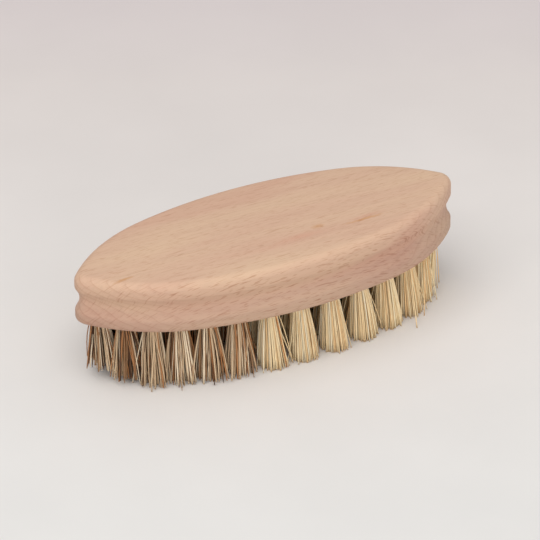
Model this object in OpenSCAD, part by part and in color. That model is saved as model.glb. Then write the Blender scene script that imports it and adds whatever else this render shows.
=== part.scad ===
// Hand brush for scrubbing vegetables.
// A block of beech, moulded all round with a cove for the fingers, is drilled from below with
// blind holes. Every hole holds one tuft of fibres, folded in half over a wire staple.
// The brush stands on its fibres: Z is up, X runs along the block and the soft fibres point to +X.

/* [Block] */
// Length of the block over its tips
block_l = 135; // [128:1:140]
// Width of the block across its middle
block_w = 52; // [49:0.5:56]
// Thickness of the block at its middle
block_h = 19; // [17.5:0.5:24]
// How much thicker the block is at its soft end than at its hard end
block_taper = 3; // [0:0.2:3.6]
// Radius of the long sides, seen from above
side_r = 150; // [135:1:180]
// Radius of the four shoulders between the sides and the tips
shoulder_r = 58; // [50:1:68]
// Radius of the two tips
tip_r = 5; // [4:0.5:7]

/* [Moulded edge] */
// Rounding of the top edge
crown_r = 3; // [2:0.25:4]
// Rounding of the bottom edge
foot_r = 1.75; // [1.25:0.25:3.5]
// Radius of the finger cove
cove_r = 6; // [5:0.25:8]
// Depth of the finger cove below the outline
cove_depth = 1.5; // [1:0.1:2]
// Rounding of the two edges of the cove
lip_r = 2; // [1:0.25:2.5]
// How far down the cove's middle lies, as a share of the thickness of the block there
cove_place = 0.53; // [0.5:0.01:0.56]

/* [Holes] */
// Diameter of a tuft hole
hole_d = 5; // [4.4:0.1:5.6]
// Depth of a tuft hole
hole_depth = 9; // [7.5:0.5:10]
// From the outline in to the outer ring of holes
outer_inset = 7; // [6.6:0.1:7.2]
// From the outline in to the inner ring of holes
inner_inset = 15.4; // [15.15:0.25:15.9]
// How much wider apart the holes of a ring stand about its middle than at the tips
middle_spread = 0.038; // [0:0.002:0.05]
// How much wider apart they stand in the soft half than in the hard half
soft_spread = 0.052; // [0:0.002:0.06]
// Distance between the holes of the middle row
core_pitch = 10.7; // [9.5:0.1:11.5]

/* [Fibres] */
// Length of the fibres below the block
fibre_l = 21; // [15:0.5:26]
// Width of a hard tuft at its tips
hard_tip_d = 8.1; // [6.5:0.1:8.2]
// Width of a soft tuft at its tips
soft_tip_d = 8; // [6.5:0.1:8.2]
// How far the tips lean over towards the soft end
tip_lean = 2; // [0:0.25:2.5]
// Thickness of a strand where it leaves the hole
strand_root_d = 0.8; // [0.5:0.05:0.9]
// Thickness of a strand at its tip
strand_tip_d = 1.3; // [0.8:0.05:1.5]
// Play of a tuft in its hole
tuft_play = 0.05; // [0.02:0.01:0.1]

/* [Staples] */
// Outer width of a staple
staple_w = 4.6; // [3.8:0.1:4.8]
// Thickness of the staple wire, across its legs
wire_t = 0.7; // [0.5:0.05:0.9]
// Width of the flat staple wire
wire_w = 1; // [0.7:0.1:1.4]
// Height of the fold of fibres over the staple
fold_h = 2.2; // [1.5:0.1:2.8]
// Bite of the staple legs into the wood past the hole
leg_bite = 3.5; // [2.5:0.25:5]
// Play of the staple in its slots
staple_play = 0.05; // [0.02:0.01:0.1]

/* [Hidden] */
// Numbers of tufts in the two rings and the middle row, and how many of each are hard fibre
outer_tufts = 26;
outer_hard = 11;
inner_tufts = 18;
inner_hard = 7;
core_tufts = 5;
core_hard = 1;

// Strands drawn in a tuft: a ring of them round a few in the middle
ring_strands = 7;
heart_strands = 3;
strand_sides = 3;
// How far a strand reaches up into the root of its tuft
strand_seat = 0.8;
// A strand bows outwards: share of its spread and lean that it reaches at half its length
bow_share = 0.56;
// The heart strands spread this share of the outer ones
heart_share = 0.43;
// Turn from one tuft to the next, so that no two tufts look alike
tuft_turn = 137.5;
// Overshoot of cutting shapes past the faces that they cut
over = 1;
// Steps along each arc of the outline and of the moulded edge
side_steps = 8;
shoulder_steps = 10;
tip_steps = 5;
edge_steps = 7;
lip_steps = 3;
cove_steps = 7;
// The foot rounding ends this far short of level, and runs on straight below the underside,
// where the flat of the underside trims it
foot_end_a = 10;
foot_run = 2;
// Colours of the pieces
beech = [0.84, 0.69, 0.56];
steel = [0.72, 0.73, 0.75];
soft_fibre = [0.87, 0.78, 0.6];
hard_fibre = [[0.55, 0.36, 0.22], [0.36, 0.26, 0.19], [0.72, 0.62, 0.5]];

$fn = 160;

// The outline is three tangent arcs in each quarter. The arcs' centres follow from the length,
// the width and the three radii. Angles are measured from +Y towards +X.
side_c = [0, block_w / 2 - side_r];
tip_c = [block_l / 2 - tip_r, 0];
side_to_tip = norm(tip_c - side_c);
side_to_shoulder = side_r - shoulder_r;
shoulder_to_tip = shoulder_r - tip_r;
shoulder_a = atan2(tip_c.x - side_c.x, tip_c.y - side_c.y)
    - acos((side_to_shoulder ^ 2 + side_to_tip ^ 2 - shoulder_to_tip ^ 2)
        / (2 * side_to_shoulder * side_to_tip));
shoulder_c = side_c + side_to_shoulder * [sin(shoulder_a), cos(shoulder_a)];
tip_a = atan2(tip_c.x - shoulder_c.x, tip_c.y - shoulder_c.y);

// Steps from the middle of a side to a tip, and station k of them: [x, y, angle of the outline]
quarter_steps = side_steps + shoulder_steps + tip_steps;
function outline_station(k) =
    k < side_steps
        ? arc_station(side_c, side_r, shoulder_a * k / side_steps)
    : k < side_steps + shoulder_steps
        ? arc_station(shoulder_c, shoulder_r,
            shoulder_a + (tip_a - shoulder_a) * (k - side_steps) / shoulder_steps)
    : arc_station(tip_c, tip_r,
        tip_a + (90 - tip_a) * (k - side_steps - shoulder_steps) / tip_steps);
function arc_station(c, r, a) = [polar(c, r, a).x, polar(c, r, a).y, a];

// Thickness of the block at x, and height of its underside there above the underside's middle
function thickness(x) = block_h + block_taper * x / block_l;
function underside_z(x) = block_h - thickness(x);

// The moulded edge is a chain of arcs and straight bands: crown, band, lip, cove, lip, band, foot.
// Its points are [outwards from the outline, down from the top face], for a block of thickness h.
cove_a = acos(1 - cove_depth / (cove_r + lip_r));
cove_half = (cove_r + lip_r) * sin(cove_a);
function edge_arc(c, r, from_a, to_a, steps, first) = [
    for (k = [first : steps])
        let (a = from_a + (to_a - from_a) * k / steps)
            c + r * [cos(a), -sin(a)]
];
function edge_section(h) =
    let (middle = cove_place * h,
        foot_c = [-foot_r, h - foot_r],
        foot_end = foot_c + foot_r * [sin(foot_end_a), cos(foot_end_a)])
        concat(
            edge_arc([-crown_r, crown_r], crown_r, 90, 0, edge_steps, 0),
            edge_arc([-lip_r, middle - cove_half], lip_r, 0, -cove_a, lip_steps, 0),
            edge_arc([cove_r - cove_depth, middle], cove_r, 180 - cove_a, 180 + cove_a, cove_steps, 1),
            edge_arc([-lip_r, middle + cove_half], lip_r, cove_a, 0, lip_steps, 1),
            edge_arc(foot_c, foot_r, 0, foot_end_a - 90, edge_steps, 0),
            [foot_end + foot_run * [-1, tan(foot_end_a)]]
        );

// Heights in the hole, from the underside up
root_d = hole_d - 2 * tuft_play;
root_h = hole_depth - tuft_play;
staple_z = hole_depth - fold_h - wire_t;
staple_h = wire_t + fold_h + leg_bite;

// Radius at which the ring strands stand at the hole
strand_root_r = (root_d - strand_root_d) / 2 - 2 * tuft_play;

// A ring of holes follows the outline at its inset. Past the tip radius it ends in a point.
function polar(c, r, a) = c + r * [sin(a), cos(a)];
function arc_l(r, a) = r * a * PI / 180;
function arc_a(r, l) = l / r * 180 / PI;
function end_a(inset) = inset < tip_r ? tip_a : acos(-shoulder_c.y / (shoulder_r - inset));
function side_l(inset) = arc_l(side_r - inset, shoulder_a);
function shoulder_l(inset) = arc_l(shoulder_r - inset, end_a(inset) - shoulder_a);
function quarter_l(inset) = side_l(inset) + shoulder_l(inset) + arc_l(max(0, tip_r - inset), 90 - tip_a);

// The point of a quarter ring at the given length from the middle of the side
function quarter_point(inset, l) =
    l <= side_l(inset)
        ? polar(side_c, side_r - inset, arc_a(side_r - inset, l))
    : l <= side_l(inset) + shoulder_l(inset) || inset >= tip_r
        ? polar(shoulder_c, shoulder_r - inset,
            shoulder_a + arc_a(shoulder_r - inset, l - side_l(inset)))
    : polar(tip_c, tip_r - inset,
        tip_a + arc_a(tip_r - inset, l - side_l(inset) - shoulder_l(inset)));

// Holes of a ring with an even count, from the one on the hard tip along both sides to the one
// on the soft tip. A hole's place u runs from -1 to 1.
function spread(u) = u + middle_spread * sin(180 * u) - soft_spread * cos(90 * u) ^ 2;
function ring_spots(inset, count) = [
    for (k = [0 : count - 1])
        let (l = quarter_l(inset) * spread(4 * ceil(k / 2) / count - 1),
            p = quarter_point(inset, abs(l)))
            [sign(l) * p.x, k % 2 == 1 ? -p.y : p.y]
];
function row_spots(count) = [for (k = [0 : count - 1]) [(k - (count - 1) / 2) * core_pitch, 0]];

outer_spots = ring_spots(outer_inset, outer_tufts);
inner_spots = ring_spots(inner_inset, inner_tufts);
core_spots = row_spots(core_tufts);
hard_spots = [
    for (k = [0 : outer_hard - 1]) outer_spots[k],
    for (k = [0 : inner_hard - 1]) inner_spots[k],
    for (k = [0 : core_hard - 1]) core_spots[k]
];
soft_spots = [
    for (k = [outer_hard : outer_tufts - 1]) outer_spots[k],
    for (k = [inner_hard : inner_tufts - 1]) inner_spots[k],
    for (k = [core_hard : core_tufts - 1]) core_spots[k]
];
all_spots = concat(hard_spots, soft_spots);

function numbered(name, k) = str(name, k < 9 ? "0" : "", k + 1);
hard_names = [for (k = [0 : len(hard_spots) - 1]) numbered("hard_tuft_", k)];
soft_names = [for (k = [0 : len(soft_spots) - 1]) numbered("soft_tuft_", k)];

// The moulded block before its underside is planed: the edge section swept round the outline
module moulded_form() {
    n = quarter_steps;
    rings = [
        for (q = [0 : 3], k = [0 : n - 1])
            let (s = outline_station(q % 2 == 0 ? k : n - k),
                turn = q < 2 ? 1 : -1,
                flip = q == 0 || q == 3 ? 1 : -1,
                out = [turn * sin(s[2]), flip * cos(s[2])],
                edge = [turn * s.x, flip * s.y],
                h = thickness(edge.x - foot_r * out.x))
                [for (e = edge_section(h)) [edge.x + e[0] * out.x, edge.y + e[0] * out.y, block_h - e[1]]]
    ];
    m = len(rings);
    p = len(rings[0]);
    sides = [
        for (i = [0 : m - 1], j = [0 : p - 2])
            let (a = i * p + j, b = (i + 1) % m * p + j)
                each [[b, a, a + 1], [b, a + 1, b + 1]]
    ];
    top = [for (i = [0 : m - 1]) i * p];
    bottom = [for (i = [m - 1 : -1 : 0]) i * p + p - 1];
    polyhedron([for (r = rings) each r], concat([top], sides, [bottom]));
}

// What lies below the sloping flat of the underside
module underside_cut() {
    rotate([0, atan2(block_taper, block_l), 0])
        translate([-block_l, -block_w, -block_h]) cube([2 * block_l, 2 * block_w, block_h]);
}

// Two pockets above a hole for the legs of its staple
module leg_pockets() {
    for (m = [0, 1])
        mirror([m, 0, 0])
            translate([staple_w / 2 - wire_t - staple_play, -wire_w / 2 - staple_play, hole_depth - over])
                cube([
                    wire_t + 2 * staple_play,
                    wire_w + 2 * staple_play,
                    staple_z + staple_h + staple_play - hole_depth + over
                ]);
}

// The block, planed and drilled from below
module block() {
    color(beech) translate([0, 0, fibre_l]) difference() {
        moulded_form();
        underside_cut();
        for (s = all_spots)
            translate([s.x, s.y, underside_z(s.x)]) {
                translate([0, 0, -over]) cylinder(d = hole_d, h = hole_depth + over);
                leg_pockets();
            }
    }
}

// Outline of a staple: a flat back with round corners, and two legs cut to points
module staple_outline() {
    inner = staple_w / 2 - wire_t;
    difference() {
        union() {
            translate([-inner, 0]) square([2 * inner, 2 * wire_t]);
            for (m = [0, 1])
                mirror([m, 0]) {
                    translate([inner, wire_t]) circle(wire_t);
                    polygon([
                        [inner, wire_t], [inner + wire_t, wire_t],
                        [inner + wire_t, staple_h], [inner, staple_h - wire_t]
                    ]);
                }
        }
        translate([-inner, wire_t]) square([2 * inner, staple_h]);
    }
}

module staple() {
    translate([0, wire_w / 2, staple_z])
        rotate([90, 0, 0]) linear_extrude(wire_w) staple_outline();
}

// All the staples, one over the fold of each tuft
module staples() {
    color(steel)
        for (s = all_spots)
            translate([s.x, s.y, fibre_l + underside_z(s.x)]) staple();
}

// The root of a tuft: the fibres pressed into the hole, with the staple through their fold
module tuft_root() {
    slot_w = wire_w + 2 * staple_play;
    leg_x = staple_w / 2 - wire_t - staple_play;
    difference() {
        cylinder(d = root_d, h = root_h);
        translate([-hole_d, -slot_w / 2, staple_z - staple_play])
            cube([2 * hole_d, slot_w, wire_t + 2 * staple_play]);
        for (m = [0, 1])
            mirror([m, 0, 0])
                translate([leg_x, -slot_w / 2, staple_z - staple_play])
                    cube([hole_d, slot_w, root_h]);
    }
}

// One strand: a three-sided tube through its root, its bend and its flat-cut tip, with its
// first edge on the side given by angle a
module strand(root, tip, a, l) {
    bend = root + bow_share * (tip - root);
    stations = [
        [root.x, root.y, strand_seat, strand_root_d / 2],
        [bend.x, bend.y, -l / 2, (strand_root_d + strand_tip_d) / 4],
        [tip.x, tip.y, -l, strand_tip_d / 2]
    ];
    n = strand_sides;
    last = len(stations) - 1;
    points = [
        for (s = stations, k = [0 : n - 1])
            let (p = polar([s[0], s[1]], s[3], a - k * 360 / n))
                [p.x, p.y, s[2]]
    ];
    sides = [
        for (j = [0 : last - 1], k = [0 : n - 1])
            let (u = j * n + k, v = j * n + (k + 1) % n)
                each [[u, v, v + n], [u, v + n, u + n]]
    ];
    top = [for (k = [n - 1 : -1 : 0]) k];
    bottom = [for (k = [0 : n - 1]) last * n + k];
    polyhedron(points, concat([top], sides, [bottom]));
}

// Direction in which strand j of a tuft spreads, and the share of the full spread that it has
function strand_a(j) =
    j < ring_strands ? j * 360 / ring_strands : (j - ring_strands + 0.5) * 360 / heart_strands;
function strand_share(j) = j < ring_strands ? 1 : heart_share;

// A tuft at its hole: the root and the strands that spread from it to the plane it stands on
module tuft(spot, k, tip_d, tint) {
    hole_z = fibre_l + underside_z(spot.x);
    spread_r = (tip_d - strand_tip_d) / 2;
    color(tint) translate([spot.x, spot.y, hole_z]) {
        tuft_root();
        for (j = [0 : ring_strands + heart_strands - 1])
            let (a = strand_a(j) - k * tuft_turn,
                root = polar([0, 0], strand_share(j) * strand_root_r, a),
                tip = polar([tip_lean, 0], strand_share(j) * spread_r, a))
                strand(root, tip, a, hole_z);
    }
}

block();
staples();
for (k = [0 : len(hard_spots) - 1])
    tuft(hard_spots[k], k, hard_tip_d, hard_fibre[k % len(hard_fibre)]);
for (k = [0 : len(soft_spots) - 1])
    tuft(soft_spots[k], k, soft_tip_d, soft_fibre);
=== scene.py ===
# %% [markdown]
# # A vegetable brush
# The brush is a pointed oval block of beech with fifty or so tufts of plant fibre in its
# underside: dark hard ones at one end and pale soft ones at the other. The CAD model gives
# every size and place. This file adds what makes it look real: wood grain, single fibres,
# light and a camera. All lengths are in metres.

# %% Load the CAD model as a fixed frame
import math

import bpy
import numpy as np
from mathutils import Matrix, Vector


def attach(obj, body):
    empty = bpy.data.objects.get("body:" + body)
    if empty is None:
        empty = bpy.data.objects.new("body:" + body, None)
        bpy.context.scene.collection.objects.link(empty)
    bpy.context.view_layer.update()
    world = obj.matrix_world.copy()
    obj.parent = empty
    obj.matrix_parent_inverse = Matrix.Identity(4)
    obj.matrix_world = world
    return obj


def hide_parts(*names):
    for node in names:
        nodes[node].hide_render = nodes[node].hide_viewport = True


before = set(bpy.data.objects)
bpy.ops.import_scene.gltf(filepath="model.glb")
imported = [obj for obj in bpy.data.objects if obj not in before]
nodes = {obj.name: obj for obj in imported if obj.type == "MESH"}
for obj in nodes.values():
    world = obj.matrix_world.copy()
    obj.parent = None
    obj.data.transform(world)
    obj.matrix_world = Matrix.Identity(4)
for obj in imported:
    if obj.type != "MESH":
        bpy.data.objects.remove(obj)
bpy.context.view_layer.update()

MM = 0.001

# %% [markdown]
# ## Colours
# Colours are written here as they look on a screen, from 0 to 255, and shaders want them
# linear. One helper converts them, so that every colour in the file can be compared by eye.


# %% A screen colour as a shader wants it
def screen_colour(r, g, b):
    def linear(v):
        v /= 255
        return v / 12.92 if v <= 0.04045 else ((v + 0.055) / 1.055) ** 2.4

    return (linear(r), linear(g), linear(b), 1.0)


print("mid grey is", [round(v, 3) for v in screen_colour(128, 128, 128)[:3]])

# %% [markdown]
# ## Camera
# The picture was taken from well away with a long lens, so parallel edges stay nearly
# parallel. A short lens close by would make the near end swell. The camera stands 1.67 m
# from the brush, a little over thirty degrees above the table, and looks past the brush's
# middle by a few millimetres to frame it.

# %% Camera
VIEW_AZIMUTH = math.radians(-26.87)
VIEW_HEIGHT = math.radians(32.5)
VIEW_ROLL = math.radians(-0.43)
VIEW_DISTANCE = 1.6667
IMAGE_PIXELS = 540
PIXELS_PER_METRE = 3091
AIM = Vector((0, 0, 0.022))
AIM_SHIFT = (0.00142, 0.00024)

back = Vector(
    (
        math.sin(VIEW_AZIMUTH) * math.cos(VIEW_HEIGHT),
        -math.cos(VIEW_AZIMUTH) * math.cos(VIEW_HEIGHT),
        math.sin(VIEW_HEIGHT),
    )
)
level = Vector((math.cos(VIEW_AZIMUTH), math.sin(VIEW_AZIMUTH), 0))
upward = back.cross(level)
right = math.cos(VIEW_ROLL) * level + math.sin(VIEW_ROLL) * upward
up = -math.sin(VIEW_ROLL) * level + math.cos(VIEW_ROLL) * upward

camera = bpy.data.objects.new("camera", bpy.data.cameras.new("camera"))
camera.data.sensor_width = 36
camera.data.lens = 36 * PIXELS_PER_METRE * VIEW_DISTANCE / IMAGE_PIXELS
camera.data.clip_end = 50
place = AIM + VIEW_DISTANCE * back + AIM_SHIFT[0] * right + AIM_SHIFT[1] * up
camera.matrix_world = Matrix.Translation(place) @ Matrix((right, up, back)).transposed().to_4x4()
bpy.context.scene.collection.objects.link(camera)
bpy.context.scene.camera = camera
print("lens", round(camera.data.lens), "mm, camera", [round(v, 3) for v in place])

# %% [markdown]
# ## Node helpers
# A procedural material is a small network of nodes. Building one by hand takes several
# lines a node, so helpers do it. One adds a node with its settings and inputs, and another
# starts a material with its shader. The rest are short names for the nodes used most: a
# colour ramp, a step of arithmetic and a mix of two colours.


# %% Helpers for materials
def add_node(tree, kind, inputs=None, **settings):
    made = tree.nodes.new(kind)
    for name, value in settings.items():
        setattr(made, name, value)
    for name, value in (inputs or {}).items():
        socket = made.inputs[name]
        if isinstance(value, bpy.types.NodeSocket):
            tree.links.new(value, socket)
        else:
            socket.default_value = value
    return made


def start_material(name, roughness, shine):
    material = bpy.data.materials.new(name)
    material.use_nodes = True
    shader = material.node_tree.nodes["Principled BSDF"]
    shader.inputs["Roughness"].default_value = roughness
    shader.inputs["Specular IOR Level"].default_value = shine
    return material, material.node_tree, shader


def ramp(tree, factor, stops):
    """A colour ramp with stops of (place, colour)."""
    made = add_node(tree, "ShaderNodeValToRGB", {"Fac": factor})
    elements = made.color_ramp.elements
    while len(elements) < len(stops):
        elements.new(0.5)
    for element, (place, colour) in zip(elements, stops):
        element.position, element.color = place, colour
    return made.outputs["Color"]


def grey(v):
    return (v, v, v, 1.0)


def calc(tree, operation, *values):
    """One step of arithmetic on numbers or sockets."""
    return add_node(tree, "ShaderNodeMath", dict(enumerate(values)), operation=operation).outputs[0]


def mix(tree, kind, factor, a, b):
    """Mixes two colours by a blend kind, such as MULTIPLY."""
    made = add_node(tree, "ShaderNodeMix", data_type="RGBA", blend_type=kind)
    for socket, value in ((made.inputs[0], factor), (made.inputs[6], a), (made.inputs[7], b)):
        if isinstance(value, bpy.types.NodeSocket):
            tree.links.new(value, socket)
        else:
            socket.default_value = value
    return made.outputs[2]


# %% [markdown]
# ## The table top
# The brush stands on a pale warm grey board, and a plain plane does. Its tone is painted
# lighter towards the camera and darker far off: painted light, for light that is stronger
# near the camera. It is painted along the floor itself, so that it stays in place from any
# side. The plane is large, because a low camera sees far across it.

# %% Floor
FLOOR_HALF = 6.0
floor_mesh = bpy.data.meshes.new("floor")
floor_mesh.from_pydata(
    [(x * FLOOR_HALF, y * FLOOR_HALF, 0) for x, y in ((-1, -1), (1, -1), (1, 1), (-1, 1))],
    [],
    [(0, 1, 2, 3)],
)
floor = bpy.data.objects.new("floor", floor_mesh)
bpy.context.scene.collection.objects.link(floor)

floor_paint, tree, shader = start_material("floor_paint", 0.9, 0.2)
coords = add_node(tree, "ShaderNodeTexCoord").outputs["Object"]
away = add_node(
    tree,
    "ShaderNodeVectorMath",
    {0: coords, 1: (-back.x, -back.y, 0)},
    operation="DOT_PRODUCT",
).outputs["Value"]
depth = add_node(
    tree, "ShaderNodeMapRange", {"Value": away, "From Min": -0.09, "From Max": 0.19}
).outputs["Result"]
# Painted light: the tone is lighter near the camera, and darker and pinker far off.
tone = ramp(
    tree,
    depth,
    [
        (0.0, screen_colour(231, 229, 226)),
        (0.45, screen_colour(234, 229, 225)),
        (0.8, screen_colour(228, 220, 216)),
        (1.0, screen_colour(223, 213, 212)),
    ],
)
cloud = add_node(tree, "ShaderNodeTexNoise", {"Vector": coords, "Scale": 22.0, "Detail": 3.0})
cloud_tone = ramp(
    tree, cloud.outputs["Fac"], [(0.35, grey(0.975)), (0.65, grey(1.0))]
)
tree.links.new(mix(tree, "MULTIPLY", 1.0, tone, cloud_tone), shader.inputs["Base Color"])
floor.data.materials.append(floor_paint)
print("floor", 2 * FLOOR_HALF, "m wide")

# %% [markdown]
# ## Light
# The light is that of a bright room. Much of it comes from everywhere. A broad window high
# on the left adds a soft shadow that lies to the right, and a low, wide reflector in front
# lights the fibres, which the block would otherwise keep in its shade. A pale wall on the
# right sends back a little cool light, so that end and its shadow stay open. Together they
# give a level surface a light of about one, at which a colour renders as it is written.


# %% World, window, reflector and wall
def soft_lamp(name, towards, distance, side, power, colour):
    """A square lamp that faces the brush from the given direction."""
    data = bpy.data.lights.new(name, "AREA")
    data.shape = "SQUARE"
    data.size = side
    data.energy = power
    data.color = colour
    lamp = bpy.data.objects.new(name, data)
    direction = Vector(towards).normalized()
    lamp.location = distance * direction
    lamp.rotation_euler = direction.to_track_quat("Z", "Y").to_euler()
    bpy.context.scene.collection.objects.link(lamp)
    print(name, power, "W at", [round(v, 2) for v in lamp.location])


world = bpy.data.worlds.new("room")
bpy.context.scene.world = world
world.use_nodes = True
sky = world.node_tree.nodes["Background"]
sky.inputs["Color"].default_value = screen_colour(252, 253, 255)
sky.inputs["Strength"].default_value = 0.48
soft_lamp("window", (-0.36, -0.22, 0.91), 1.5, 1.4, 14.2, (1.0, 0.985, 0.965))
soft_lamp("reflector", (-0.04, -0.99, 0.08), 1.2, 0.9, 5.7, (1.0, 0.965, 0.92))
soft_lamp("pale_wall", (0.92, -0.32, 0.22), 1.3, 0.9, 1.7, (0.84, 0.94, 1.0))
bpy.context.scene.view_settings.view_transform = "Standard"

# %% [markdown]
# ## Beech
# The block is one piece of raw beech, a pale pinkish tan with three kinds of marks. A fine
# dark line ends each year's growth. Faint streaks run along the grain. Short dark dashes are
# the ends of the rays, thin sheets that reach out from the heart of the tree. All of these
# run through the solid wood, so the pattern is made in three dimensions, and it meets itself
# correctly at every edge and in the cove. Flat textures glued to each side could not do that.
#
# Every point gets tree coordinates: along the grain, round the tree and out from its heart.
# The heart lies below and behind the block, so top and front show dashes, and the tips show
# growth lines crossed by rays.

# %% Beech: tree coordinates
beech, tree, shader = start_material("beech", 0.6, 0.3)
OUTWARD_TILT = math.radians(-37)
HEART_DISTANCE = 0.13
coords = add_node(tree, "ShaderNodeTexCoord").outputs["Object"]
turned = add_node(
    tree,
    "ShaderNodeMapping",
    {"Vector": coords, "Rotation": (OUTWARD_TILT, math.radians(1.0), math.radians(-1.5))},
).outputs["Vector"]


def noise(tree, vector, scale, detail=0.0, roughness=0.5):
    """Noise with the given number of cells a metre along each axis."""
    scaled = add_node(tree, "ShaderNodeMapping", {"Vector": vector, "Scale": scale})
    return add_node(
        tree,
        "ShaderNodeTexNoise",
        {"Vector": scaled.outputs["Vector"], "Scale": 1.0, "Detail": detail, "Roughness": roughness},
    )


drift = add_node(
    tree,
    "ShaderNodeVectorMath",
    {0: noise(tree, turned, (9, 38, 38), 2.0).outputs["Color"], 1: (0.0, 0.0045, 0.0045)},
    operation="MULTIPLY",
).outputs["Vector"]
drifted = add_node(tree, "ShaderNodeVectorMath", {0: turned, 1: drift}, operation="ADD")
parts = add_node(tree, "ShaderNodeSeparateXYZ", {"Vector": drifted.outputs["Vector"]})
from_heart = calc(tree, "ADD", parts.outputs["Z"], HEART_DISTANCE)
squares = calc(
    tree,
    "ADD",
    calc(tree, "POWER", parts.outputs["Y"], 2.0),
    calc(tree, "POWER", from_heart, 2.0),
)
outward = calc(tree, "SQRT", squares)
around = calc(
    tree, "MULTIPLY", calc(tree, "ARCTAN2", parts.outputs["Y"], from_heart), HEART_DISTANCE
)
tree_place = add_node(
    tree, "ShaderNodeCombineXYZ", {"X": parts.outputs["X"], "Y": around, "Z": outward}
).outputs["Vector"]
facing = add_node(
    tree, "ShaderNodeSeparateXYZ", {"Vector": add_node(tree, "ShaderNodeNewGeometry").outputs["Normal"]}
)
end_grain = add_node(
    tree,
    "ShaderNodeMapRange",
    {"Value": calc(tree, "ABSOLUTE", facing.outputs["X"]), "From Min": 0.1, "From Max": 0.75},
).outputs["Result"]
print("the heart of the tree is", round(HEART_DISTANCE / MM), "mm away, below and behind")

# %% [markdown]
# The ground colour first. No board has one colour, so a slow noise drifts between pinkish
# and yellowish tan in zones that are long along the grain. Streaks a few tenths of a
# millimetre wide go over it.

# %% Beech: ground colour and streaks
zones = noise(tree, tree_place, (11, 95, 95), 2.0)
ground = ramp(
    tree,
    zones.outputs["Fac"],
    [
        (0.30, screen_colour(211, 170, 145)),
        (0.48, screen_colour(215, 179, 152)),
        (0.70, screen_colour(219, 186, 156)),
    ],
)
streaks = noise(tree, tree_place, (45, 1500, 1500), 3.0, 0.6)
streak_tone = ramp(
    tree, streaks.outputs["Fac"], [(0.30, grey(0.955)), (0.5, grey(1.0)), (0.72, grey(1.02))]
)
streaked = mix(tree, "MULTIPLY", 1.0, ground, streak_tone)
print("ground colour in three tones")

# %% [markdown]
# A growth line is dark only on its outer side, like the tooth of a saw. It is plain to see
# on the tips, where the wood is cut across, and hardly at all elsewhere.

# %% Beech: growth lines
YEAR = 1.9 * MM
saw = calc(tree, "FRACT", calc(tree, "DIVIDE", outward, YEAR))
line = ramp(
    tree, saw, [(0.55, grey(0.0)), (0.86, grey(0.35)), (0.95, grey(1.0)), (1.0, grey(0.1))]
)
line_strength = add_node(
    tree, "ShaderNodeMapRange", {"Value": end_grain, "To Min": 0.16, "To Max": 0.75}
).outputs["Result"]
ringed = mix(
    tree, "MULTIPLY", calc(tree, "MULTIPLY", line, line_strength), streaked, (0.80, 0.70, 0.67, 1)
)
print("one growth line every", round(YEAR / MM, 1), "mm")

# %% [markdown]
# The rays are noise stretched into thin sheets, of which only the peaks are kept by a ramp
# with close stops. There is a fine set and a sparse set of bolder ones. On the top face they
# are faint, because it was sanded finest, and on the tips they turn into the lattice that
# they make with the growth lines.

# %% Beech: rays
fine_rays = noise(tree, tree_place, (400, 5200, 240))
fine_mask = ramp(tree, fine_rays.outputs["Fac"], [(0.63, grey(0.0)), (0.74, grey(1.0))])
bold_rays = noise(tree, tree_place, (230, 4600, 110))
bold_mask = ramp(tree, bold_rays.outputs["Fac"], [(0.685, grey(0.0)), (0.76, grey(1.0))])
by_height = add_node(
    tree,
    "ShaderNodeMapRange",
    {"Value": facing.outputs["Z"], "From Min": 0.35, "From Max": 0.95, "To Min": 1.0, "To Max": 0.6},
).outputs["Result"]
by_end = calc(tree, "MULTIPLY_ADD", end_grain, -0.45, 1.0)
ray_strength = calc(tree, "MULTIPLY", by_height, by_end)
dashed = mix(
    tree, "MULTIPLY", calc(tree, "MULTIPLY", fine_mask, ray_strength), ringed, (0.86, 0.78, 0.74, 1)
)
marked = mix(
    tree, "MULTIPLY", calc(tree, "MULTIPLY", bold_mask, ray_strength), dashed, (0.79, 0.68, 0.62, 1)
)
print("beech colour nodes:", len(tree.nodes))

# %% [markdown]
# The moulded edge is painted a shade darker and greyer than the top. This is painted shade:
# surfaces that face sideways or down are darker, and so is the lower part of the edge. Two
# ramps do this: one by how far a surface looks up, one by its height. One ramp could not
# tell the top from the upper lip of the cove.

# %% Beech: the edge is painted darker than the top, as painted shade
turned_up = add_node(
    tree, "ShaderNodeMapRange", {"Value": facing.outputs["Z"], "From Min": -1.0, "From Max": 1.0}
).outputs["Result"]
# Painted shade: surfaces that face sideways or down are painted darker and greyer.
painted_side_shade = ramp(
    tree,
    turned_up,
    [(0.44, (0.90, 0.87, 0.88, 1)), (0.56, (0.94, 0.92, 0.94, 1)), (0.95, grey(1.0))],
)
side_shaded = mix(tree, "MULTIPLY", 1.0, marked, painted_side_shade)
height = add_node(tree, "ShaderNodeSeparateXYZ", {"Vector": coords}).outputs["Z"]
level_up = add_node(
    tree, "ShaderNodeMapRange", {"Value": height, "From Min": 20 * MM, "From Max": 40 * MM}
).outputs["Result"]
# Painted shade on the lower part of the edge: darkest 25 mm above the floor, gone by 30 mm.
painted_low_shade = ramp(
    tree,
    level_up,
    [
        (0.0, (0.88, 0.88, 0.90, 1)),
        (0.25, (0.82, 0.805, 0.825, 1)),
        (0.40, (0.85, 0.83, 0.85, 1)),
        (0.52, (0.99, 0.98, 0.985, 1)),
    ],
)
shaded = mix(tree, "MULTIPLY", 1.0, side_shaded, painted_low_shade)
print("beech colour nodes:", len(tree.nodes))

# %% [markdown]
# A few marks are no pattern: ochre streaks where the tree stored gum, a pin knot, and bands
# that are pinker or greyer than the rest. Each is a soft spot, long along the grain, that
# only tints what is under it. Noise could give such marks, but not in their real places.


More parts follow.
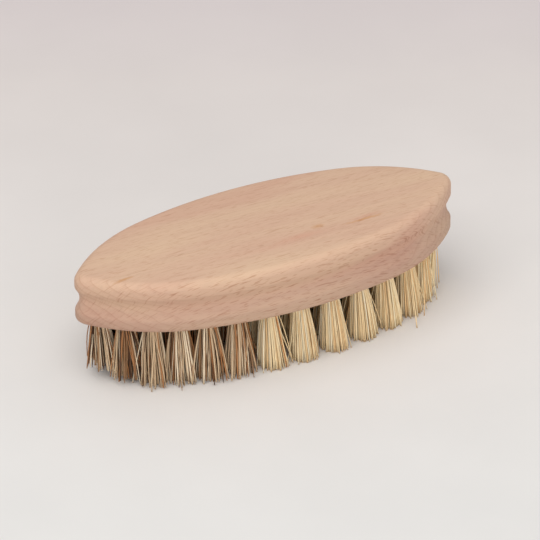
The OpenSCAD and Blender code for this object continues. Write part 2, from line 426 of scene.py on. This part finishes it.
# %% Beech: gum streaks, bands and a pin knot
def spot(colours, place, size, turn, tint, strength):
    """Tints an ellipsoid at the place (mm) with half sizes (mm), turned about the vertical."""
    inside = add_node(
        tree,
        "ShaderNodeMapping",
        {
            "Vector": coords,
            "Location": [v * MM for v in place],
            "Rotation": (0.0, 0.0, math.radians(turn)),
            "Scale": [v * MM for v in size],
        },
        vector_type="TEXTURE",
    ).outputs["Vector"]
    ragged = add_node(
        tree,
        "ShaderNodeVectorMath",
        {0: noise(tree, coords, (700, 1500, 1500), 2.0).outputs["Color"], 1: (0.5, 0.5, 0.5)},
        operation="SUBTRACT",
    ).outputs["Vector"]
    moved = add_node(tree, "ShaderNodeVectorMath", {0: inside, 1: ragged}, operation="ADD")
    fade = add_node(
        tree, "ShaderNodeTexGradient", {"Vector": moved.outputs["Vector"]}, gradient_type="SPHERICAL"
    ).outputs["Fac"]
    return mix(tree, "MULTIPLY", calc(tree, "MULTIPLY", fade, strength), colours, tint)


OCHRE = (0.86, 0.66, 0.42, 1)
BROWN = (0.74, 0.60, 0.48, 1)
PINK = (0.97, 0.85, 0.84, 1)
PALE_GREY = (0.90, 0.88, 0.86, 1)
MARKS = (
    ((-54.6, -9.0, 40), (4.2, 0.75, 1.5), 4, OCHRE, 1.0),
    ((-57.5, -9.4, 40), (4.2, 0.40, 1.5), -6, BROWN, 0.6),
    ((29.5, -12.2, 40), (8.5, 0.85, 1.5), 1, OCHRE, 1.0),
    ((31.5, -10.8, 40), (8.0, 1.10, 1.5), 1, PINK, 0.9),
    ((14.3, -9.2, 40), (2.8, 1.60, 1.5), 0, OCHRE, 0.8),
    ((15.4, -9.9, 40), (0.8, 0.45, 1.5), 0, BROWN, 1.0),
    ((6.0, -12.0, 40), (11.0, 1.80, 2.0), 2, PINK, 0.9),
    ((24.0, -1.3, 40), (6.5, 0.40, 1.5), 0, PALE_GREY, 0.8),
)
spotted = shaded
for place, size, turn, tint, strength in MARKS:
    spotted = spot(spotted, place, size, turn, tint, strength)
tree.links.new(spotted, shader.inputs["Base Color"])
print(len(MARKS), "single marks on the top face")

# %% [markdown]
# Sanded beech is matt with a faint sheen, and its open pores leave shallow grooves. The
# streak noise drives a weak bump and the roughness together, so that grooves are rougher.

# %% Beech: surface
bump = add_node(
    tree,
    "ShaderNodeBump",
    {"Height": streaks.outputs["Fac"], "Strength": 0.10, "Distance": 0.0002},
)
tree.links.new(bump.outputs["Normal"], shader.inputs["Normal"])
rough = add_node(
    tree,
    "ShaderNodeMapRange",
    {"Value": streaks.outputs["Fac"], "To Min": 0.68, "To Max": 0.54},
)
tree.links.new(rough.outputs["Result"], shader.inputs["Roughness"])

block = nodes["block"]
block.data.materials.clear()
block.data.materials.append(beech)
weld = block.modifiers.new("weld", "WELD")
weld.merge_threshold = 1e-6
print("block has", len(block.data.vertices), "vertices")

# %% [markdown]
# The CAD block is made of flat facets, which is right for a machine and wrong for the eye.
# Its mesh stays as it is. A modifier only smooths the shading where facets meet at a small
# angle, and keeps the rims of the holes crisp.

# %% Smooth shading on the block
smooth_tree = bpy.data.node_groups.new("smooth_by_angle", "GeometryNodeTree")
smooth_tree.interface.new_socket("Geometry", in_out="INPUT", socket_type="NodeSocketGeometry")
smooth_tree.interface.new_socket("Geometry", in_out="OUTPUT", socket_type="NodeSocketGeometry")
put_in = smooth_tree.nodes.new("NodeGroupInput")
put_out = smooth_tree.nodes.new("NodeGroupOutput")
edge_angle = smooth_tree.nodes.new("GeometryNodeInputMeshEdgeAngle")
small = add_node(
    smooth_tree,
    "FunctionNodeCompare",
    {0: edge_angle.outputs["Unsigned Angle"], 1: math.radians(32)},
    data_type="FLOAT",
    operation="LESS_EQUAL",
)
smooth_faces = add_node(
    smooth_tree,
    "GeometryNodeSetShadeSmooth",
    {"Geometry": put_in.outputs[0], "Shade Smooth": True},
    domain="FACE",
)
smooth_edges = add_node(
    smooth_tree,
    "GeometryNodeSetShadeSmooth",
    {"Geometry": smooth_faces.outputs[0], "Shade Smooth": small.outputs[0]},
    domain="EDGE",
)
smooth_tree.links.new(smooth_edges.outputs[0], put_out.inputs[0])
block.modifiers.new("smooth", "NODES").node_group = smooth_tree
print("block shaded smooth up to 32 degrees")

# %% [markdown]
# ## Staple wire
# Each tuft is held by a staple deep in its hole. Nobody sees them, but they are part of the
# brush. Drawn wire has fine scratches, so a fine noise varies the tone of the bright metal
# and how rough it is.

# %% Staples
wire, tree, shader = start_material("staple_wire", 0.3, 0.5)
shader.inputs["Metallic"].default_value = 1.0
coords = add_node(tree, "ShaderNodeTexCoord").outputs["Object"]
scratches = add_node(
    tree, "ShaderNodeTexNoise", {"Vector": coords, "Scale": 4000.0, "Detail": 2.0}
)
wire_tone = ramp(
    tree,
    scratches.outputs["Fac"],
    [(0.3, screen_colour(186, 187, 190)), (0.7, screen_colour(214, 215, 217))],
)
tree.links.new(wire_tone, shader.inputs["Base Color"])
scratched = add_node(
    tree, "ShaderNodeMapRange", {"Value": scratches.outputs["Fac"], "To Min": 0.25, "To Max": 0.4}
)
tree.links.new(scratched.outputs["Result"], shader.inputs["Roughness"])
nodes["staples"].data.materials.clear()
nodes["staples"].data.materials.append(wire)
print("staples have", len(nodes["staples"].data.polygons), "faces")

# %% [markdown]
# ## Where the tufts stand
# The CAD has one solid for each tuft, with a round root in its hole and ten thick strands.
# The real tuft has a hundred fibres or more. Each is replaced by a bundle of single fibres
# that starts from the same hole, so the place is read from the CAD root and never typed in.


# %% Find each hole from its CAD tuft
def hole_of(name):
    """Centre of the tuft's root, and the height at which it leaves the wood."""
    points = np.array([v.co for v in nodes[name].data.vertices])
    top = points[:, 2].max()
    root = points[points[:, 2] > top - 3 * MM]
    middle = (root.min(0) + root.max(0)) / 2
    return middle[0], middle[1], top - ROOT_HEIGHT


ROOT_HEIGHT = 8.95 * MM
hard_names = sorted(n for n in nodes if n.startswith("hard_tuft"))
soft_names = sorted(n for n in nodes if n.startswith("soft_tuft"))
holes = {name: hole_of(name) for name in hard_names + soft_names}
print(len(hard_names), "hard and", len(soft_names), "soft tufts; the first leaves the wood at",
      [round(v / MM, 2) for v in holes["hard_tuft_01"]])

# %% [markdown]
# ## One bundle of fibres
# A fibre fans out from its hole, straightens a little on its way down and ends near the
# plane that the brush stands on. Its line is given by a few rings, and a five-sided tube is
# drawn through them.
# Hair particles could do this too, but they are no mesh, so the exported brush would lose
# them. Plain arrays make thousands of tubes at once and give the same result each run.


# %% Tubes along many lines at once
FIBRE_SIDES = 5
FIBRE_RINGS = 7


def tube_mesh(name, lines, widths, flatness, turns, tones, materials):
    """One mesh of tubes. lines: (fibres, rings, 3), widths: (fibres, rings)."""
    count, rings, _ = lines.shape
    around = np.arange(FIBRE_SIDES) * 2 * np.pi / FIBRE_SIDES
    a = around[None, None, :] + turns[:, None, None]
    wide = np.stack([np.cos(turns), np.sin(turns)], 1)[:, None, None, :]
    thin = np.stack([-np.sin(turns), np.cos(turns)], 1)[:, None, None, :]
    half = widths[:, :, None, None] / 2
    ring = half * (
        np.cos(a - turns[:, None, None])[..., None] * wide
        + flatness[:, None, None, None] * np.sin(a - turns[:, None, None])[..., None] * thin
    )
    points = np.repeat(lines[:, :, None, :], FIBRE_SIDES, axis=2)
    points[..., :2] += ring
    first = (np.arange(count) * rings * FIBRE_SIDES)[:, None, None]
    j = (np.arange(rings - 1) * FIBRE_SIDES)[None, :, None]
    k = np.arange(FIBRE_SIDES)[None, None, :]
    k_next = (k + 1) % FIBRE_SIDES
    quads = np.stack(
        [first + j + k, first + j + FIBRE_SIDES + k, first + j + FIBRE_SIDES + k_next, first + j + k_next],
        -1,
    ).reshape(-1, 4)
    start = np.arange(count)[:, None] * rings * FIBRE_SIDES
    top_caps = start + np.arange(FIBRE_SIDES)[None, :]
    end_caps = start + (rings - 1) * FIBRE_SIDES + np.arange(FIBRE_SIDES)[None, ::-1]
    faces = quads.tolist() + top_caps.tolist() + end_caps.tolist()
    mesh = bpy.data.meshes.new(name)
    mesh.from_pydata(points.reshape(-1, 3).tolist(), [], faces)
    slots = np.concatenate([np.repeat(tones, (rings - 1) * FIBRE_SIDES), tones, tones])
    mesh.polygons.foreach_set("material_index", slots.astype(np.int32))
    smooth = np.concatenate([np.ones(len(quads), bool), np.zeros(2 * count, bool)])
    mesh.polygons.foreach_set("use_smooth", smooth)
    for material in materials:
        mesh.materials.append(material)
    mesh.update()
    return mesh


print("a fibre has", FIBRE_SIDES * FIBRE_RINGS, "points")


# %% [markdown]
# A tuft is packed as a sunflower packs its seeds: fibre number k stands at an angle that
# grows by a fixed turn and at a radius that grows with the square root of k. The same place
# in the hole decides the place at the tips, so fibres mostly keep side by side, and small
# seeded draws make them cross and stray. No fibre goes past the widest part of the block.


# %% Lines of one tuft
HOLE_RADIUS = 2.4 * MM
SEAT = 1.5 * MM
WIDEST = 26 * MM
GOLDEN_ANGLE = 2.399963


def tuft_lines(draw, hole, look, splay, worn):
    """Lines of the fibres of one tuft, as an array of fibres, rings and x, y, z.

    splay is how far the tips stand off the hole in x and y, worn how much shorter they end.
    """
    x, y, z = hole
    count = look["count"]
    k = np.arange(count)
    radius = np.sqrt((k + 0.5) / count)
    angle = k * GOLDEN_ANGLE + draw.uniform(0, 2 * np.pi)
    root = np.stack([radius * np.cos(angle), radius * np.sin(angle)], 1)
    root = root + draw.normal(0, 0.04, (count, 2))
    tip = root * look["tip_radius"] * (1 + draw.normal(0, 0.05, (count, 1)))
    tip = tip + draw.normal(0, look["stray"], (count, 2)) + np.array(splay)
    wild = draw.random(count) < look["wild_share"]
    tip[wild] += draw.normal(0, look["wild"], (wild.sum(), 2))
    root = root * (HOLE_RADIUS - 0.2 * MM)
    s = np.linspace(0, 1, FIBRE_RINGS)[None, :, None]
    ease = 1.25 * s - 0.25 * s**2
    flat = root[:, None, :] + ease * (tip - root)[:, None, :]
    bend = draw.normal(0, look["wave"], (count, 1, 2)) * (1 + 2.5 * wild[:, None, None])
    flat = flat + bend * np.sin(np.pi * s * draw.uniform(0.8, 1.6, (count, 1, 1)))
    start = z + SEAT
    end = worn + np.abs(draw.normal(0, look["short"], count))
    height = start + (end - start)[:, None] * s[:, :, 0]
    lines = np.concatenate([flat, height[:, :, None]], 2)
    lines[:, :, 0] += x
    lines[:, :, 1] = np.clip(lines[:, :, 1] + y, -WIDEST, WIDEST)
    return lines


print("a hole is", 2 * HOLE_RADIUS / MM, "mm wide")


# %% [markdown]
# ## Fibre materials
# The soft fibre is a pale plant fibre, cream to straw, even and fine. The hard fibre is a
# mixture: coarse palm fibres in rust and dark brown among grey-beige and cream ones. Each
# fibre has one tone from a short list, as in the real mixture, and each tone still changes
# along and across the fibre by noise. Every fibre is also darker in its last millimetre above
# the floor. Thin dry fibres let some light through, which is why a bundle glows a little
# inside, so a small share of the light passes.


# %% Fibre tones
def fibre_material(name, colour, change, glow):
    material, tree, shader = start_material(name, 0.5, 0.3)
    coords = add_node(tree, "ShaderNodeTexCoord").outputs["Object"]
    grain = noise(tree, coords, (2600, 2600, 160), 2.0)
    shade = ramp(
        tree, grain.outputs["Fac"], [(0.3, grey(1 - change)), (0.7, grey(1 + 0.5 * change))]
    )
    height = add_node(tree, "ShaderNodeSeparateXYZ", {"Vector": coords}).outputs["Z"]
    # Darker within a millimetre of the floor, by height alone.
    near_floor = add_node(
        tree, "ShaderNodeMapRange", {"Value": height, "From Min": 0.0002, "From Max": 0.0010}
    )
    floor_end_tone = ramp(tree, near_floor.outputs["Result"], [(0.0, (0.74, 0.64, 0.52, 1)), (1.0, grey(1.0))])
    toned = mix(tree, "MULTIPLY", 1.0, mix(tree, "MULTIPLY", 1.0, colour, shade), floor_end_tone)
    tree.links.new(toned, shader.inputs["Base Color"])
    rough = add_node(
        tree, "ShaderNodeMapRange", {"Value": grain.outputs["Fac"], "To Min": 0.42, "To Max": 0.62}
    )
    tree.links.new(rough.outputs["Result"], shader.inputs["Roughness"])
    bump = add_node(
        tree,
        "ShaderNodeBump",
        {"Height": grain.outputs["Fac"], "Strength": 0.2, "Distance": 0.00005},
    )
    tree.links.new(bump.outputs["Normal"], shader.inputs["Normal"])
    through = add_node(tree, "ShaderNodeBsdfTranslucent", {"Color": toned})
    both = add_node(
        tree,
        "ShaderNodeMixShader",
        {0: glow, 1: shader.outputs["BSDF"], 2: through.outputs["BSDF"]},
    )
    tree.links.new(both.outputs["Shader"], tree.nodes["Material Output"].inputs["Surface"])
    return material


SOFT_TONES = {
    "soft_cream": ((255, 235, 194), 0.42),
    "soft_straw": ((255, 227, 179), 0.34),
    "soft_tan": ((252, 214, 160), 0.12),
    "soft_pale": ((255, 243, 214), 0.115),
    "soft_rust": ((196, 124, 60), 0.006),
}
HARD_TONES = {
    "hard_rust": ((186, 130, 84), 0.23),
    "hard_dark": ((92, 64, 44), 0.18),
    "hard_brown": ((162, 122, 86), 0.17),
    "hard_grey": ((222, 194, 158), 0.24),
    "hard_cream": ((254, 236, 206), 0.22),
}


def make_tones(tones, glow):
    made = [fibre_material(n, screen_colour(*c), 0.10, glow) for n, (c, _) in tones.items()]
    shares = np.array([share for _, share in tones.values()])
    return made, shares / shares.sum()


soft_materials, soft_shares = make_tones(SOFT_TONES, 0.05)
hard_materials, hard_shares = make_tones(HARD_TONES, 0.05)
print("fibre tones:", list(SOFT_TONES) + list(HARD_TONES))


# %% [markdown]
# ## How the tufts lean
# No tuft stands quite straight. Use bends all tips a little to the soft end and those of the
# outer tufts outwards. At the two tips of the block the hand presses hardest: the hard fibres
# there are worn short, and the last soft tufts lie back against their neighbours. So each
# tuft's lean follows from its place, which also holds for the side that nobody photographed.


# %% Lean and wear of one tuft
RING_HALF_LENGTH = 61 * MM
RING_HALF_WIDTH = 19 * MM
RING_DEPTH = 5 * MM
NOSE_START = 50 * MM
NOSE_LENGTH = 8 * MM


def within(value):
    return min(1.0, max(0.0, value))


def lean_of(hole, look):
    """How far the tips lean in x and y, and how much shorter they are."""
    x, y, _ = hole
    edge_y = RING_HALF_WIDTH * math.sqrt(max(0.0, 1 - (x / RING_HALF_LENGTH) ** 2))
    outer = within((abs(y) - edge_y + RING_DEPTH) / (4 * MM))
    nose = within((abs(x) - NOSE_START) / NOSE_LENGTH)
    side = math.copysign(1.0, y) if abs(y) > 1 * MM else -1.0
    along = look["lean"] + nose * look["nose_lean"]
    across = side * outer * (look["splay"] + nose * look["nose_splay"])
    return (along, across), (look["worn"] * nose if x < 0 else 0.0)


print("lean of the outer ring follows an oval", round(2 * RING_HALF_LENGTH / MM), "mm long")

# %% [markdown]
# ## The tufts
# What the two kinds have in common is one function, which takes the look of a kind: how many
# fibres, how far they spread, lean and stray, and how thick and flat they are. In the hard
# mixture fibres of one tone lie together in clumps, because it isn't mixed evenly, so half of
# them take the tone of the clump that they end in.

# %% Build a tuft and let it stand for its CAD node
CLUMP_SHARE = 0.5
TAPER = 0.1


def make_tuft(name, piece_name, seed, look, materials, shares):
    draw = np.random.default_rng(seed)
    splay, worn = lean_of(holes[name], look)
    lines = tuft_lines(draw, holes[name], look, splay, worn)
    count = look["count"]
    along = np.linspace(0, 1, FIBRE_RINGS)
    widths = draw.uniform(*look["width"], count)[:, None] * (1.0 - TAPER * along)[None, :]
    flatness = draw.uniform(*look["flatness"], count)
    turns = draw.uniform(0, np.pi, count)
    tones = draw.choice(len(materials), count, p=shares)
    if look["clumps"]:
        centre = draw.uniform(-1, 1, (look["clumps"], 2)) * look["tip_radius"]
        clump_tone = draw.choice(len(materials), look["clumps"], p=shares)
        tips = lines[:, -1, :2] - np.array(holes[name][:2])
        near = np.linalg.norm(tips[:, None] - centre[None], axis=2).argmin(1)
        same = draw.random(count) < CLUMP_SHARE
        tones[same] = clump_tone[near[same]]
    mesh = tube_mesh(piece_name, lines, widths, flatness, turns, tones, materials)
    piece = bpy.data.objects.new(piece_name, mesh)
    bpy.context.scene.collection.objects.link(piece)
    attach(piece, "root")
    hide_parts(name)
    return len(mesh.polygons)


print("half of a clumped tuft's fibres share a tone:", CLUMP_SHARE)

# %% [markdown]
# The soft tufts are dense, even and round, and open towards the tips like a shaving brush.
# About one fibre in eleven strays from its bundle and crosses the gap to the next.

# %% Soft tufts
SOFT_LOOK = {
    "count": 270,
    "clumps": 0,
    "tip_radius": 4.7 * MM,
    "lean": 1.2 * MM,
    "splay": 1.3 * MM,
    "nose_splay": 1.4 * MM,
    "nose_lean": -3.8 * MM,
    "worn": 0.0,
    "stray": 0.24 * MM,
    "wave": 0.10 * MM,
    "wild_share": 0.09,
    "wild": 2.0 * MM,
    "short": 0.25 * MM,
    "width": (0.30 * MM, 0.44 * MM),
    "flatness": (0.7, 1.0),
}
soft_faces = sum(
    make_tuft(name, f"soft_fibres_{k:02d}", 700 + k, SOFT_LOOK, soft_materials, soft_shares)
    for k, name in enumerate(soft_names, 1)
)
print(len(soft_names), "soft tufts,", soft_faces, "faces")

# %% [markdown]
# The hard tufts are coarser. Their fibres are flatter, vary more in width, stray more and end
# less evenly. At the tip of the block they are worn almost four millimetres short.

# %% Hard tufts
HARD_LOOK = {
    "count": 175,
    "clumps": 24,
    "tip_radius": 4.7 * MM,
    "lean": 0.6 * MM,
    "splay": 0.9 * MM,
    "nose_splay": -2.4 * MM,
    "nose_lean": 1.2 * MM,
    "worn": 3.8 * MM,
    "stray": 1.15 * MM,
    "wave": 0.2 * MM,
    "wild_share": 0.10,
    "wild": 1.6 * MM,
    "short": 0.6 * MM,
    "width": (0.24 * MM, 0.68 * MM),
    "flatness": (0.4, 0.85),
}
hard_faces = sum(
    make_tuft(name, f"hard_fibres_{k:02d}", 300 + k, HARD_LOOK, hard_materials, hard_shares)
    for k, name in enumerate(hard_names, 1)
)
print(len(hard_names), "hard tufts,", hard_faces, "faces")
